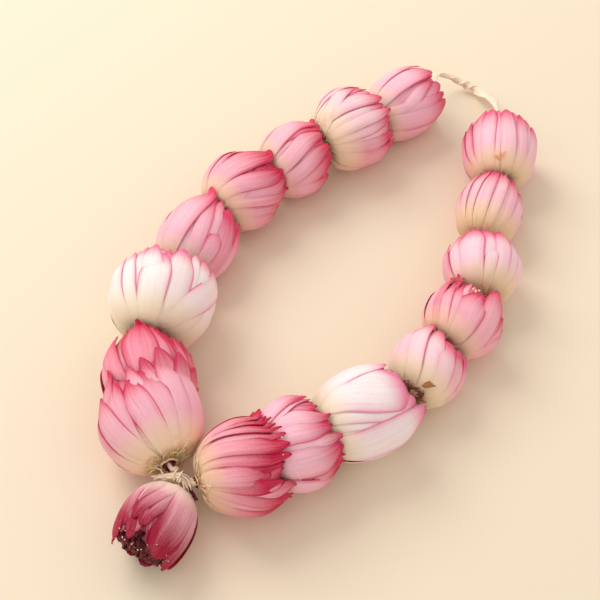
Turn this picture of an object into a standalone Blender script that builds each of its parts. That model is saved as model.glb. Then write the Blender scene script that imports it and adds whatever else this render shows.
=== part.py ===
"""A lotus flower garland: seventeen buds strung on one thread round an open loop, with one bud hanging below.

Each bud is a core with petals in layers round it, fused into one solid. Its open end holds the base of the
next bud along the thread. Everything lies on the surface z = 0. Sizes are in millimetres up to the last step.
"""

import math
import random

import bmesh
import bpy
from mathutils import Vector

MM = 0.001
SEED = 17

# Middle of the flowers' box, seen from the knot: the origin is moved there.
CENTRE = Vector((2.3, 138.1, 0.0))

# A bud's shape, as shares of its length or of its widest radius.
SEAT = 0.96
BELLY = 0.52
STUB = 0.18
LEAST_SWELL = 0.1
BASE_POWER = 2.4
MOUTH_POWER = 1.8

# A petal's outline: its sides are straight up to here, then close in to the tip, bluntly on a round one.
TIP_START = 0.5
TIP_POWER = 1.8
ROUND_POWER = 1.4
ROUND_EASE = 0.35

# Petals: each layer lies this much deeper than the last, fading out towards the smooth base.
LAYER_STEP = 1.1
LAYERS = 3
SHINGLE = 0.3
FADE_FROM = 0.06
FADE_TO = 0.26
EDGE_ROUNDING = 0.001
EDGE_ANGLE = 3.6
LEAST_ANGLE = 3.5
MOST_ANGLE = 22.0
TIP_DEPTH = 2.6
LIP_STEP = 0.5
REAR_STEP = 30.0
REAR_HALF_ANGLE = 20.0
REAR_SPREAD = 2.5
LEAST_REACH = 0.6

# Rows of points along a petal, from the base to the rim, and down the inside of the mouth.
ROWS = (0.0, 0.08, 0.28, 0.56, 0.81, 1.0)
SHALLOW_ROWS = (1.0, 0.35, 0.0)
DEEP_ROWS = (1.0, 0.5, 0.17, 0.0)
DEEP_MOUTH = 6.0
MOUTH_ROOM = 1.6
GROUND_WALL = 0.4
HEART_ROWS = ((-9.0, 0.68), (-7.5, 0.5), (-1.0, 0.2))

# Room between solids that touch.
GAP = 0.35
NEIGHBOUR_ROOM = 1.4
LEAST_UNDER = 2.6

# Thread, the hole for it in each bud, and the knot.
THREAD_DIAMETER = 3.6
THREAD_STEP = 12.0
THREAD_SHARE = 0.45
BORE_RADIUS = 2.9
BORE_SIDES = 6
BORE_END_ROOM = 3.0
BLIND_BORE = 0.55
OPEN_BORE = 0.74
OPEN_EXIT = 0.93
BORE_WALL = 1.0

# The knot where both ends of the thread meet: (x, y, z, radius) along it, wisp ends first and last.
KNOT = (
    (-14, -8.5, 24.5, 0.6), (-11, -8.4, 26.5, 1.2), (-7.5, -7.4, 28.2, 1.8), (-3.8, -5.4, 28.6, 2.8),
    (-0.6, -3.8, 28.2, 3.3), (2.0, -4.0, 27.0, 2.7), (3.6, -5.2, 24.8, 1.5), (4.6, -6.4, 22.6, 0.6),
)
KNOT_SIDES = 12
KNOT_RIDGES = 3
RIDGE_SHARE = 0.14
RIDGE_TURN = 0.7
# Where the two ends of the loop's thread, and the end of the pendant's, stop just short of the knot.
LOOP_START = Vector((-3.9, -1.1, 28.5))
LOOP_END = Vector((4.2, -1.8, 26.3))
DROP_START = Vector((-0.4, -2.2, 22.8))

# Where the thread crosses the bare gap at the top of the loop, from the left arm to the right.
FREE_THREAD = ((-19, 340, 19), (-13, 349, 12), (-4, 354, 6), (6, 354, 5), (16, 348, 9), (25, 338, 17))

# Edges sharper than this stay crisp.
CREASE_ANGLE = 35.0

# Name: (x, y of the base; width; length; mouth share; roundness of the tips; petals). A petal is its angle
# round the bud from the top, how far its tip reaches along the bud, half its width in degrees, and its layer.
# The places and sizes of most buds and many petals go back to values that were fitted to the photograph by
# other scripts, then rounded or changed by hand. The petals that it doesn't show follow a rule.
BUDS = {
    "left_1": (-10, 0, 58, 64, 0.66, 0.2, (
        (-90, 42, 18, 0), (-75, 45, 12, 1), (-60, 46, 15, 0), (-40, 57, 12, 2), (-36, 51, 14, 1),
        (-13, 43, 14, 0), (-8, 53, 9, 2), (5, 46, 16, 1), (14, 54, 13, 2), (38, 57, 16, 1), (58, 54, 14, 0),
        (80, 50, 16, 1))),
    "left_2": (-37, 20, 53, 55, 0.66, 0.1, (
        (-78, 38, 14, 1), (-56, 46, 15, 0), (-40, 45, 10, 2), (-26, 49, 9, 2), (-12, 51, 21, 0),
        (9, 47, 11, 1), (20, 44, 9, 2), (32, 42, 9, 1), (45, 40, 9, 0), (56, 39, 10, 2), (68, 37, 12, 1),
        (85, 36, 16, 0))),
    "left_3": (-63, 59, 62, 64, 0.7, 0.8, (
        (-85, 42, 18, 1), (-62, 44, 17, 0), (-45, 45, 14, 1), (-28, 48, 13, 2), (-15, 49, 12, 1),
        (0, 41, 16, 0), (22, 50, 13, 1), (42, 51, 10, 2), (58, 51, 14, 1), (84, 53, 16, 0),
        (90, 32, 18, 0), (100, 48, 18, 1))),
    "left_4": (-79, 109, 48, 61, 0.56, 0.2, (
        (-75, 45, 18, 1), (-60, 34, 16, 1), (-40, 52, 14, 1), (-12, 57, 21, 0), (3, 52, 11, 1),
        (18, 52, 14, 2), (42, 50, 17, 1), (43, 32, 12, 0), (67, 47, 15, 0), (96, 44, 16, 1))),
    "left_5": (-81, 159, 50, 53, 0.6, 0.4, (
        (-62, 42, 20, 0), (-45, 42, 15, 1), (-26, 44, 18, 2), (8, 49, 18, 0), (31, 45, 15, 2),
        (50, 46, 15, 0), (68, 49, 15, 1), (85, 43, 12, 0), (104, 40, 14, 1), (120, 38, 18, 0))),
    "left_6": (-73, 203, 48, 50, 0.6, 0.5, (
        (-65, 40, 18, 1), (-36, 43, 20, 0), (-12, 43, 13, 1), (-2, 42, 11, 2), (10, 41, 15, 0),
        (38, 42, 15, 0), (58, 42, 15, 1), (78, 40, 14, 2), (98, 37, 16, 0), (116, 35, 18, 1))),
    "left_7": (-52, 238, 54, 57, 0.62, 0.5, (
        (-62, 41, 18, 0), (-40, 43, 15, 1), (-27, 37, 12, 0), (-5, 40, 12, 2), (13, 46, 14, 0),
        (38, 47, 12, 0), (50, 44, 9, 1), (64, 43, 10, 2), (78, 43, 10, 1), (92, 44, 11, 2),
        (108, 45, 18, 0))),
    "left_8": (-36, 278, 45, 56, 0.52, 0.6, (
        (-75, 44, 20, 0), (-40, 48, 22, 1), (-5, 50, 19, 0), (22, 43, 12, 1), (35, 50, 15, 2),
        (58, 50, 13, 1), (80, 50, 19, 0), (104, 47, 16, 1))),
    "right_1": (9, -1, 54, 63, 0.66, 0.1, (
        (-80, 42, 16, 0), (-58, 44, 14, 1), (-42, 43, 12, 0), (-19, 46, 14, 1), (2, 50, 9, 1),
        (15, 50, 10, 0), (28, 49, 10, 1), (36, 45, 10, 2), (43, 36, 12, 0), (60, 42, 12, 1), (73, 48, 12, 2),
        (88, 46, 10, 0), (100, 42, 10, 1), (115, 41, 13, 0))),
    "right_2": (30, 24, 53, 54, 0.6, 0.3, (
        (-65, 36, 18, 1), (-45, 39, 20, 0), (-18, 41, 14, 2), (8, 44, 12, 1), (22, 42, 12, 0),
        (43, 45, 12, 1), (58, 43, 20, 0), (74, 43, 13, 1), (95, 43, 13, 2), (110, 40, 16, 0))),
    "right_3": (48, 55, 52, 67, 0.56, 0.9, (
        (-65, 49, 20, 0), (-40, 52, 22, 1), (-9, 53, 16, 1), (12, 52, 32, 0), (38, 55, 13, 1),
        (48, 53, 11, 2), (70, 60, 22, 0), (92, 57, 18, 1), (108, 53, 14, 1))),
    "right_4": (80, 104, 44, 49, 0.6, 0.8, (
        (-65, 37, 18, 1), (-50, 41, 20, 0), (-30, 42, 17, 1), (-5, 39, 15, 0), (23, 33, 16, 0),
        (54, 35, 16, 1), (76, 37, 15, 0), (92, 35, 14, 1))),
    "right_5": (81, 143, 47, 52, 0.6, 0.2, (
        (-65, 38, 17, 0), (-50, 39, 12, 1), (-44, 38, 12, 2), (-35, 29, 10, 0), (-22, 30, 13, 1),
        (-17, 35, 9, 2), (-2, 34, 10, 1), (10, 31, 20, 0), (30, 43, 17, 0), (50, 38, 13, 1),
        (72, 36, 16, 0), (95, 34, 16, 1))),
    "right_6": (88, 184, 47, 50, 0.64, 0.6, (
        (-95, 34, 16, 1), (-73, 36, 14, 0), (-50, 37, 14, 1), (-20, 38, 20, 0), (5, 37, 14, 1),
        (12, 25, 9, 0), (28, 37, 13, 0), (50, 36, 14, 1), (73, 34, 16, 0))),
    "right_7": (67, 225, 41, 54, 0.62, 0.5, (
        (-76, 39, 14, 0), (-62, 42, 12, 1), (-50, 44, 10, 0), (-38, 46, 9, 1), (-27, 45, 8, 0),
        (-17, 46, 8, 1), (-6, 45, 8, 0), (4, 46, 8, 1), (13, 45, 8, 0), (22, 43, 9, 1),
        (34, 42, 10, 0), (47, 40, 12, 1), (63, 38, 14, 0), (83, 36, 16, 1))),
    "right_8": (59, 270, 47, 57, 0.58, 0.4, (
        (-92, 42, 16, 1), (-72, 44, 14, 0), (-52, 46, 12, 2), (-38, 49, 11, 1), (-22, 46, 13, 0),
        (-11, 45, 9, 1), (4, 45, 12, 0), (16, 44, 11, 1), (28, 43, 10, 0), (42, 42, 11, 1),
        (60, 40, 13, 0), (82, 38, 16, 1))),
    "pendant": (-1, -7, 40, 47, 0.72, 0.1, (
        (-82, 45, 24, 1), (-42, 44, 27, 0), (-20, 40, 15, 2), (-12, 33, 13, 2), (5, 33, 18, 1),
        (22, 31, 15, 0), (20, 41, 15, 2), (40, 35, 14, 1), (54, 43, 17, 0), (80, 43, 20, 1))),
}

ARMS = (
    tuple(f"left_{n}" for n in range(1, 9)),
    tuple(f"right_{n}" for n in range(1, 9)),
)
# Where the thread leaves the last bud of each string of buds.
ARM_ENDS = (Vector((-12, 330, 21)), Vector((34, 327, 22)))
PENDANT_END = Vector((3, -49, 19))

PINK = {
    "left_1": (0.72, 0.30, 0.38), "left_2": (0.70, 0.24, 0.32), "left_3": (0.83, 0.60, 0.60),
    "left_4": (0.76, 0.36, 0.43), "left_5": (0.74, 0.33, 0.38), "left_6": (0.74, 0.33, 0.38),
    "left_7": (0.78, 0.42, 0.45), "left_8": (0.78, 0.42, 0.46), "right_1": (0.66, 0.20, 0.28),
    "right_2": (0.70, 0.28, 0.34), "right_3": (0.84, 0.66, 0.65), "right_4": (0.80, 0.52, 0.50),
    "right_5": (0.76, 0.34, 0.38), "right_6": (0.80, 0.48, 0.50), "right_7": (0.78, 0.42, 0.46),
    "right_8": (0.78, 0.42, 0.45), "pendant": (0.50, 0.12, 0.18),
}
CREAM = (0.80, 0.70, 0.52)


class Bud:
    """One bud's place and outer shape. Lengths along it start at its base."""

    def __init__(self, name, end):
        x, y, width, length, mouth, roundness, petals = BUDS[name]
        self.name = name
        self.radius = width / 2
        self.length = length
        self.mouth = mouth
        self.roundness = roundness
        self.petals = petals
        self.base = Vector((x, y, SEAT * self.radius))
        self.axis = Vector((end.x - x, end.y - y, 0)).normalized()
        self.up = Vector((0, 0, 1))
        self.side = self.axis.cross(self.up)
        self.open_ended = name != "pendant"

    def swell(self, along):
        """The bud's outer radius at a length along it."""
        share = max(0.0, along / self.length)
        if share < BELLY:
            rise = 1 - (1 - share / BELLY) ** BASE_POWER
            return self.radius * (STUB + (1 - STUB) * math.sqrt(rise))
        fall = (share - BELLY) / (1 - BELLY)
        return self.radius * max(LEAST_SWELL, 1 - (1 - self.mouth) * fall ** MOUTH_POWER)

    def point(self, along, radius, degrees):
        angle = math.radians(degrees)
        spoke = self.up * math.cos(angle) + self.side * math.sin(angle)
        return self.base + self.axis * along + spoke * radius

    def holds(self, point, room):
        """Whether a point lies inside this bud's outside, or within some room of it."""
        offset = point - self.base
        along = offset.dot(self.axis)
        spoke = offset - self.axis * along
        return -room < along < self.length and spoke.length < self.swell(along) + room

    def pushed_clear(self, point, room):
        """The point, moved out to this bud's surface and room beyond it where it lies inside."""
        offset = point - self.base
        along = offset.dot(self.axis)
        spoke = offset - self.axis * along
        if along <= 0 or along > self.length or spoke.length < 1:
            return point
        least = self.swell(along) + room
        if spoke.length >= least:
            return point
        return self.base + self.axis * along + spoke.normalized() * least


def clear_scene():
    for obj in list(bpy.data.objects):
        bpy.data.objects.remove(obj, do_unlink=True)


def make_material(name, colour, roughness):
    material = bpy.data.materials.new(name)
    material.use_nodes = True
    shader = material.node_tree.nodes["Principled BSDF"]
    shader.inputs["Base Color"].default_value = (*colour, 1)
    shader.inputs["Roughness"].default_value = roughness
    return material


def add_object(name, place, points, faces):
    """A closed mesh object from points in millimetres round the knot, with its own origin at a place."""
    mesh = bpy.data.meshes.new(name)
    mesh.from_pydata([(point - place) * MM for point in points], [], faces)
    build = bmesh.new()
    build.from_mesh(mesh)
    bmesh.ops.triangulate(build, faces=build.faces[:], quad_method="SHORT_EDGE")
    bmesh.ops.recalc_face_normals(build, faces=build.faces[:])
    build.to_mesh(mesh)
    build.free()
    return put_in_garland(name, mesh, place)


def put_in_garland(name, data, place):
    """A new object at a place, carried by the garland's empty."""
    obj = bpy.data.objects.new(name, data)
    obj.location = (place - CENTRE) * MM
    obj.parent = bpy.data.objects["garland"]
    bpy.context.scene.collection.objects.link(obj)
    return obj


def turn(degrees):
    """An angle brought to between -180 and 180."""
    return (degrees + 180) % 360 - 180


def petal_share(u, roundness):
    """Half a petal's width at a share of its length, as a share of its widest."""
    if u <= TIP_START:
        return 1.0
    if u > 1:
        return -1.0
    x = (u - TIP_START) / (1 - TIP_START)
    return (1 - x ** (TIP_POWER + ROUND_POWER * roundness)) ** (1 - ROUND_EASE * roundness)


def petal_reach(petal, degrees, roundness):
    """How far along the bud a petal reaches at an angle, by the same outline."""
    off = abs(turn(degrees - petal[0])) / petal[2]
    if off > 1:
        return 0.0
    left = 1 - off ** (1 / (1 - ROUND_EASE * roundness))
    x = left ** (1 / (TIP_POWER + ROUND_POWER * roundness))
    return petal[1] * (TIP_START + (1 - TIP_START) * x)


def rear_petals(bud, draw):
    """The petals on the sides that the photograph doesn't show, evenly round the rest of the bud."""
    first = min(bud.petals)
    last = max(bud.petals)
    start = last[0] + last[2]
    stop = first[0] + 360 - first[2]
    count = max(2, round((stop - start) / REAR_STEP))
    step = (stop - start) / count
    reach = sum(petal[1] for petal in bud.petals) / len(bud.petals)
    petals = []
    for i in range(count):
        degrees = start + (i + 0.5) * step
        tip = reach + draw.uniform(-REAR_SPREAD, REAR_SPREAD)
        layer = (i + last[3] + 1) % 2
        petals.append((degrees, tip, REAR_HALF_ANGLE, layer))
    return petals


def column_angles(petals):
    """Angles of the columns of points: each petal's middle and edges, and just past the top layer's edges."""
    wanted = []
    for degrees, _, half_angle, layer in petals:
        wanted.append((0, degrees))
        if layer == 0:
            wanted += [(1, degrees + side * half_angle) for side in (-1, 1)]
            wanted += [(2, degrees + side * (half_angle + EDGE_ANGLE)) for side in (-1, 1)]
        if layer == 1:
            wanted += [(3, degrees + side * half_angle) for side in (-1, 1)]
    kept = []
    for _, degrees in sorted(wanted):
        if all(abs(turn(degrees - other)) >= LEAST_ANGLE for other in kept):
            kept.append(turn(degrees))
    kept.sort()
    between = []
    for degrees, following in zip(kept, kept[1:] + [kept[0] + 360]):
        if following - degrees > MOST_ANGLE:
            between.append(turn((degrees + following) / 2))
    return sorted(kept + between)


def relief(bud, petals, along, degrees):
    """How far in from the bud's outside the uppermost petal lies here."""
    fade = min(1, max(0, (along / bud.length - FADE_FROM) / (FADE_TO - FADE_FROM)))
    depth = LAYER_STEP * LAYERS
    for middle, reach, half_angle, layer in petals:
        off = turn(degrees - middle) / half_angle
        if abs(off) <= petal_share(along / reach, bud.roundness) + EDGE_ROUNDING:
            depth = min(depth, LAYER_STEP * layer - SHINGLE * off)
    return depth * fade


def outer_point(bud, following, neighbours, depth, along, degrees):
    """A point of a bud's outside, over the next bud's base and clear of its neighbours."""
    radius = bud.swell(along) - depth
    point = bud.point(along, radius, degrees)
    if following is not None:
        room = GAP + TIP_DEPTH + LAYER_STEP * LAYERS - depth
        point = following.pushed_clear(point, room)
    while any(other.holds(point, NEIGHBOUR_ROOM) for other in neighbours):
        radius -= GAP
        point = bud.point(along, radius, degrees)
    return Vector((point.x, point.y, max(0, point.z)))


def rim_reach(bud, following, petals, degrees):
    """How far the petals reach at an angle: shorter where the next bud leaves no room under it."""
    reach = max(petal_reach(petal, degrees, bud.roundness) for petal in petals)
    reach = max(reach, LEAST_REACH * bud.length)
    if following is None:
        return reach
    while reach > LEAST_REACH * bud.length:
        point = bud.point(reach, bud.swell(reach), degrees)
        over = following.pushed_clear(point, 0)
        if over == point or over.z > LEAST_UNDER:
            break
        reach -= 1
    return reach


def inner_points(bud, following, rim, shares):
    """The points down the inside of the mouth, from below one rim point to the middle."""
    if following is None:
        offset = rim - bud.base
        along = offset.dot(bud.axis)
        spoke = offset - bud.axis * along
        outward = spoke.normalized()
        found = [bud.base + bud.axis * (along - LIP_STEP) + outward * (spoke.length - TIP_DEPTH)]
        for down, share in HEART_ROWS:
            radius = max(spoke.length * share, BORE_RADIUS + BORE_WALL)
            found.append(bud.base + bud.axis * (along + down) + outward * radius)
        return found
    offset = rim - following.base
    along = offset.dot(following.axis)
    spoke = offset - following.axis * along
    outward = spoke.normalized()
    points = []
    floor = following.swell(0) + MOUTH_ROOM
    for share in shares:
        place = -GAP + (along + GAP) * share
        radius = following.swell(place) + MOUTH_ROOM
        if along <= 0:
            radius = floor + (spoke.length - TIP_DEPTH - floor) * share
        point = following.base + following.axis * place + outward * radius
        points.append(Vector((point.x, point.y, max(GROUND_WALL, point.z))))
    return points


def bore_rings(bud, following, route):
    """Rings round the thread, from the bud's base to the bottom of its mouth."""
    last = bud.length * BLIND_BORE
    if following is not None:
        last = (following.base - bud.base).dot(bud.axis)
    elif bud.open_ended:
        last = bud.length * OPEN_BORE
    rings = [ring_round(bud, bud.base)]
    passed = []
    for point in route:
        along = (point - bud.base).dot(bud.axis)
        near = (point - bud.base - bud.axis * along).length < bud.radius
        if near and BORE_END_ROOM < along < last - BORE_END_ROOM:
            passed.append((along, point))
    rings += [ring_round(bud, point) for _, point in sorted(passed, key=lambda pair: pair[0])]
    if following is not None:
        rings.append(ring_round(following, following.base - following.axis * GAP))
    else:
        rings.append(ring_round(bud, bud.base + bud.axis * last))
    return rings


def ring_round(bud, centre):
    turns = [2 * math.pi * (i / BORE_SIDES - 0.5) for i in range(BORE_SIDES)]
    return [centre + (bud.up * math.cos(a) + bud.side * math.sin(a)) * BORE_RADIUS for a in turns]


def strip(first, second, count):
    """Faces between two rings of the same number of points, by the index of each ring's first point."""
    faces = []
    for i in range(count):
        j = (i + 1) % count
        faces.append((first + i, first + j, second + j, second + i))
    return faces


def zipped(points, first, count, second, other_count, centre, bud):
    """Triangles between two rings with different numbers of points, matched by angle round a centre."""
    def angles(start, number):
        found = []
        for point in points[start:start + number]:
            offset = point - centre
            found.append(math.atan2(offset.dot(bud.side), offset.dot(bud.up)))
        return found
    outer = angles(first, count)
    inner = angles(second, other_count)
    start = min(range(count), key=lambda k: outer[k])
    other_start = min(range(other_count), key=lambda k: inner[k])
    faces = []
    i = j = 0
    while i < count or j < other_count:
        a = first + (start + i) % count
        b = second + (other_start + j) % other_count
        next_outer = outer[(start + i + 1) % count] + (2 * math.pi if i + 1 >= count else 0)
        next_inner = inner[(other_start + j + 1) % other_count] + (2 * math.pi if j + 1 >= other_count else 0)
        if j >= other_count or (i < count and next_outer < next_inner):
            faces.append((a, first + (start + i + 1) % count, b))
            i += 1
        else:
            faces.append((a, second + (other_start + j + 1) % other_count, b))
            j += 1
    return faces


def make_bud(bud, following, neighbours, route, draw):
    """One closed solid: the outside in petals, the rim of tips, the mouth and the hole for the thread."""
    petals = list(bud.petals) + rear_petals(bud, draw)
    angles = column_angles(petals)
    count = len(angles)
    rims = [rim_reach(bud, following, petals, degrees) for degrees in angles]
    points = []
    for share in ROWS:
        for degrees, rim in zip(angles, rims):
            along = rim * share
            depth = relief(bud, petals, along, degrees)
            points.append(outer_point(bud, following, neighbours, depth, along, degrees))
    tips = points[-count:]
    shares = SHALLOW_ROWS
    if following is not None and max((tip - following.base).dot(following.axis) for tip in tips) > DEEP_MOUTH:
        shares = DEEP_ROWS
    insides = [inner_points(bud, following, tip, shares) for tip in tips]
    for row in zip(*insides):
        points += row
    rows = len(ROWS) + len(insides[0])
    faces = []
    for row in range(rows - 1):
        faces += strip(row * count, (row + 1) * count, count)
    rings = bore_rings(bud, following, route)
    first_ring = len(points)
    for ring in rings:
        points += ring
    for i in range(len(rings) - 1):
        faces += strip(first_ring + i * BORE_SIDES, first_ring + (i + 1) * BORE_SIDES, BORE_SIDES)
    last_ring = first_ring + (len(rings) - 1) * BORE_SIDES
    faces += zipped(points, 0, count, first_ring, BORE_SIDES, bud.base, bud)
    last_row = (rows - 1) * count
    if following is not None:
        faces += zipped(points, last_row, count, last_ring, BORE_SIDES, following.base, following)
    elif bud.open_ended:
        faces += zipped(points, last_row, count, last_ring, BORE_SIDES, bud.base, bud)
    else:
        faces.append(tuple(range(last_row, last_row + count)))
        faces.append(tuple(range(last_ring, last_ring + BORE_SIDES)))
    obj = add_object(bud.name, bud.base, points, faces)
    finish(obj, make_material(bud.name + "_petals", PINK[bud.name], 0.5))
    return obj


def smooth_route(points, step):
    """Points about a step apart on a smooth curve through the given ones, which it keeps."""
    padded = [2 * points[0] - points[1], *points, 2 * points[-1] - points[-2]]
    route = []
    for a, b, c, d in zip(padded, padded[1:], padded[2:], padded[3:]):
        count = max(1, round((c - b).length / step))
        for i in range(count):
            t = i / count
            turned = (c - a) * t + (2 * a - 5 * b + 4 * c - d) * t ** 2 + (3 * b - a - 3 * c + d) * t ** 3
            route.append(b + turned * 0.5)
    return route + [points[-1]]


def thread_through(buds):
    """Route points at each bud's base and middle, in order, and straight out of the last bud's mouth."""
    points = []
    for bud in buds:
        points.append(bud.base)
        points.append(bud.base + bud.axis * bud.length * THREAD_SHARE)
    last = buds[-1]
    if last.open_ended:
        points.append(last.base + last.axis * last.length * OPEN_BORE)
        points.append(last.base + last.axis * last.length * OPEN_EXIT)
    return points


def make_thread(name, route):
    curve = bpy.data.curves.new(name, "CURVE")
    curve.dimensions = "3D"
    curve.bevel_depth = THREAD_DIAMETER / 2 * MM
    curve.bevel_resolution = 2
    curve.use_fill_caps = True
    spline = curve.splines.new("POLY")
    spline.points.add(len(route) - 1)
    for place, point in zip(spline.points, route):
        place.co = (*((point - route[0]) * MM), 1)
    return put_in_garland(name, curve, route[0])


def make_knot():
    """A short lump of twisted fibres, thin at both ends, with ridges that turn along it."""
    centres = [Vector(row[:3]) for row in KNOT]
    points = []
    for index, row in enumerate(KNOT):
        ahead = centres[min(index + 1, len(KNOT) - 1)] - centres[max(index - 1, 0)]
        across = ahead.cross(Vector((0, 0, 1))).normalized()
        upward = across.cross(ahead).normalized()
        for side in range(KNOT_SIDES):
            angle = 2 * math.pi * side / KNOT_SIDES
            ridge = RIDGE_SHARE * math.cos(KNOT_RIDGES * (angle + RIDGE_TURN * index))
            radius = row[3] * (1 + ridge)
            points.append(centres[index] + (across * math.cos(angle) + upward * math.sin(angle)) * radius)
    faces = [tuple(range(KNOT_SIDES))]
    for index in range(len(KNOT) - 1):
        faces += strip(index * KNOT_SIDES, (index + 1) * KNOT_SIDES, KNOT_SIDES)
    faces.append(tuple(range((len(KNOT) - 1) * KNOT_SIDES, len(KNOT) * KNOT_SIDES)))
    return add_object("knot", centres[0], points, faces)


def finish(obj, material):
    obj.data.materials.clear()
    obj.data.materials.append(material)
    if obj.type == "MESH":
        obj.data.shade_smooth()
        obj.data.set_sharp_from_angle(angle=math.radians(CREASE_ANGLE))


def main():
    clear_scene()
    bpy.context.scene.collection.objects.link(bpy.data.objects.new("garland", None))
    draw = random.Random(SEED)
    arms = []
    for names, end in zip(ARMS, ARM_ENDS):
        starts = [Vector((BUDS[name][0], BUDS[name][1], 0)) for name in names]
        arms.append([Bud(name, to) for name, to in zip(names, starts[1:] + [end])])
    pendant = Bud("pendant", PENDANT_END)
    left, right = arms
    free = [Vector(point) for point in FREE_THREAD]
    there = thread_through(left)
    back = thread_through(right)
    loop = smooth_route([LOOP_START] + there + free + back[::-1] + [LOOP_END], THREAD_STEP)
    drop = smooth_route([DROP_START] + thread_through([pendant]), THREAD_STEP / 2)
    for arm in arms:
        for i, bud in enumerate(arm):
            following = arm[i + 1] if i + 1 < len(arm) else None
            neighbours = [left[0]] if bud is right[0] else []
            make_bud(bud, following, neighbours, loop, draw)
    make_bud(pendant, None, [left[0], right[0]], drop, draw)
    cream = make_material("cream_fibre", CREAM, 0.85)
    finish(make_thread("thread", loop), cream)
    finish(make_thread("pendant_thread", drop), cream)
    finish(make_knot(), cream)


main()
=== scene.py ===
"""Looks for the lotus flower garland: thin layered petals, the twisted thread, its knot and the studio.

Shapes are worked out in millimetres from the knot, as the solids were, and moved to the row frame in metres
when a mesh is made. A petal is its angle round the bud from the top, how far its tip reaches along the bud,
half its width in degrees, its layer, how far it leans and what kind it is. The places and sizes of most buds
and many petals go back to values that were fitted to the photograph by other scripts, then rounded or changed
by hand.
"""

import math
import random
from typing import NamedTuple

import bpy
import numpy as np
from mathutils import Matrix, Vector


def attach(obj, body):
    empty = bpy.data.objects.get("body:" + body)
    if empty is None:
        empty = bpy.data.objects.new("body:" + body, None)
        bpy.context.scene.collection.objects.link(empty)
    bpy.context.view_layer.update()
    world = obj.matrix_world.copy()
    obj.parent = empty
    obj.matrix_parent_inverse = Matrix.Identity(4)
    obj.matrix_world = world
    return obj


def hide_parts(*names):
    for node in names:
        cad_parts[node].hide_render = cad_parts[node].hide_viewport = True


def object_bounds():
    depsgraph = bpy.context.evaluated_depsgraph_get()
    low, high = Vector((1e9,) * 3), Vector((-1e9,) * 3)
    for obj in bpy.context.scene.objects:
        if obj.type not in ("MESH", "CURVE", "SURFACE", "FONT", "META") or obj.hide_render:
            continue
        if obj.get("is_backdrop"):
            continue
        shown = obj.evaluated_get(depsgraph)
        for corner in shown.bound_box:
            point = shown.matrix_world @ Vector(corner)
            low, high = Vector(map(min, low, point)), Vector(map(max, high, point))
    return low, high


MM = 0.001
SEED = 17
CENTRE = np.array((2.3, 138.1, 0.0))
UP = np.array((0.0, 0.0, 1.0))

# A bud's shape, as shares of its length or of its widest radius.
SEAT = 0.96
BELLY = 0.52
STUB = 0.18
OUTLINE_TO = 0.85
OUTLINE_STEPS = 96
OUTWARD = 0.7
LEAST_SWELL = 0.1
BASE_POWER = 2.4
MOUTH_POWER = 1.8

# A petal's outline: its sides are straight up to here, then close in to the tip, bluntly on a round one.
TIP_START = 0.5
TIP_POWER = 1.8
ROUND_START = 0.12
ROUND_POWER = 1.4
ROUND_EASE = 0.5
BLUNTER = 0.25

# How petals lie: depth of each layer, tilt so that one overlaps the next, and their thickness.
LAYER_STEP = 0.85
LAYERS = 3
SHINGLE = 0.4
HIDDEN_EDGE = 4.0
THICKNESS = 0.36
TIP_SHARE = 0.99
TUCK = 2.6
FLOOR_ROOM = 0.3
NEXT_ROOM = 0.9
NEXT_STEP = 0.45
NEIGHBOUR_ROOM = 0.9

# How much of a petal's width is kept where the bud narrows to its mouth, and the most that it widens.
WIDTH_KEPT = 0.75
MOST_WIDENING = 1.45

# Points across and along a petal, for those that show, those out of sight and those deep in the mouth.
FINE_GRID = (19, 26)
REAR_GRID = (13, 20)
COARSE_GRID = (9, 14)

# Petals out of sight: how far apart and how wide those at the rear are, and how deep those in the mouth lie.
REAR_STEP = 30.0
REAR_HALF_ANGLE = 20.0
REAR_SPREAD = 2.5
BETWEEN_DEPTH = 2.2
UNDER_STEP = 30.0
UNDER_HALF_ANGLE = 23.0
UNDER_DEPTH = 2.7

# Rings of small petals that close an open mouth, or that stand round the next bud's base: share of the bud's
# radius, how many, how much shorter.
HEART_RINGS = ((0.84, 12, 1.5), (0.66, 10, 3.0), (0.48, 8, 4.5), (0.33, 6, 6.0))
MOUTH_RINGS = ((0.9, 10, 0.0), (0.76, 8, 1.0), (0.6, 6, 2.0))
HEART_DROPS = {"pendant": -0.25}
HEART_KINDS = {"pendant": "wilted"}

# The core that the petals grow on, the hole through it, and the cut stalk in its collar.
CORE_DEPTH = 4.4
CORE_SIDES = 36
BORE_RADIUS = 2.6
COLLAR_SHADE = np.array((1.0, 0.88, 0.7))
STALK_RADIUS = 4.0
STALK_COLOUR = (92, 26, 34)


class Petal(NamedTuple):
    """Angle and reach are those of the tip, and lean is how far round the bud it swings from root to tip."""

    angle: float
    reach: float
    half_angle: float
    layer: float
    lean: float = 0.0
    kind: str = "plain"
    start: float = 0.0


class Kind(NamedTuple):
    """How one sort of petal differs: its tip, its bulge, its depth of colour, how its tip lifts, its crumple,
    how deeply its tip is coloured, and its own colours if it has any.
    """

    blunt: float = 0.0
    puff: float = 1.0
    darker: float = 0.0
    lift: float = 0.0
    crumple: float = 1.0
    tipped: float = 1.0
    colours: tuple = ()


TAN = ((230, 178, 150), (184, 112, 84), (226, 180, 146))
BROWN = ((184, 130, 82), (112, 62, 38), (176, 122, 76))
WILTED = ((214, 128, 128), (112, 28, 44), (196, 116, 108))

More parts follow.
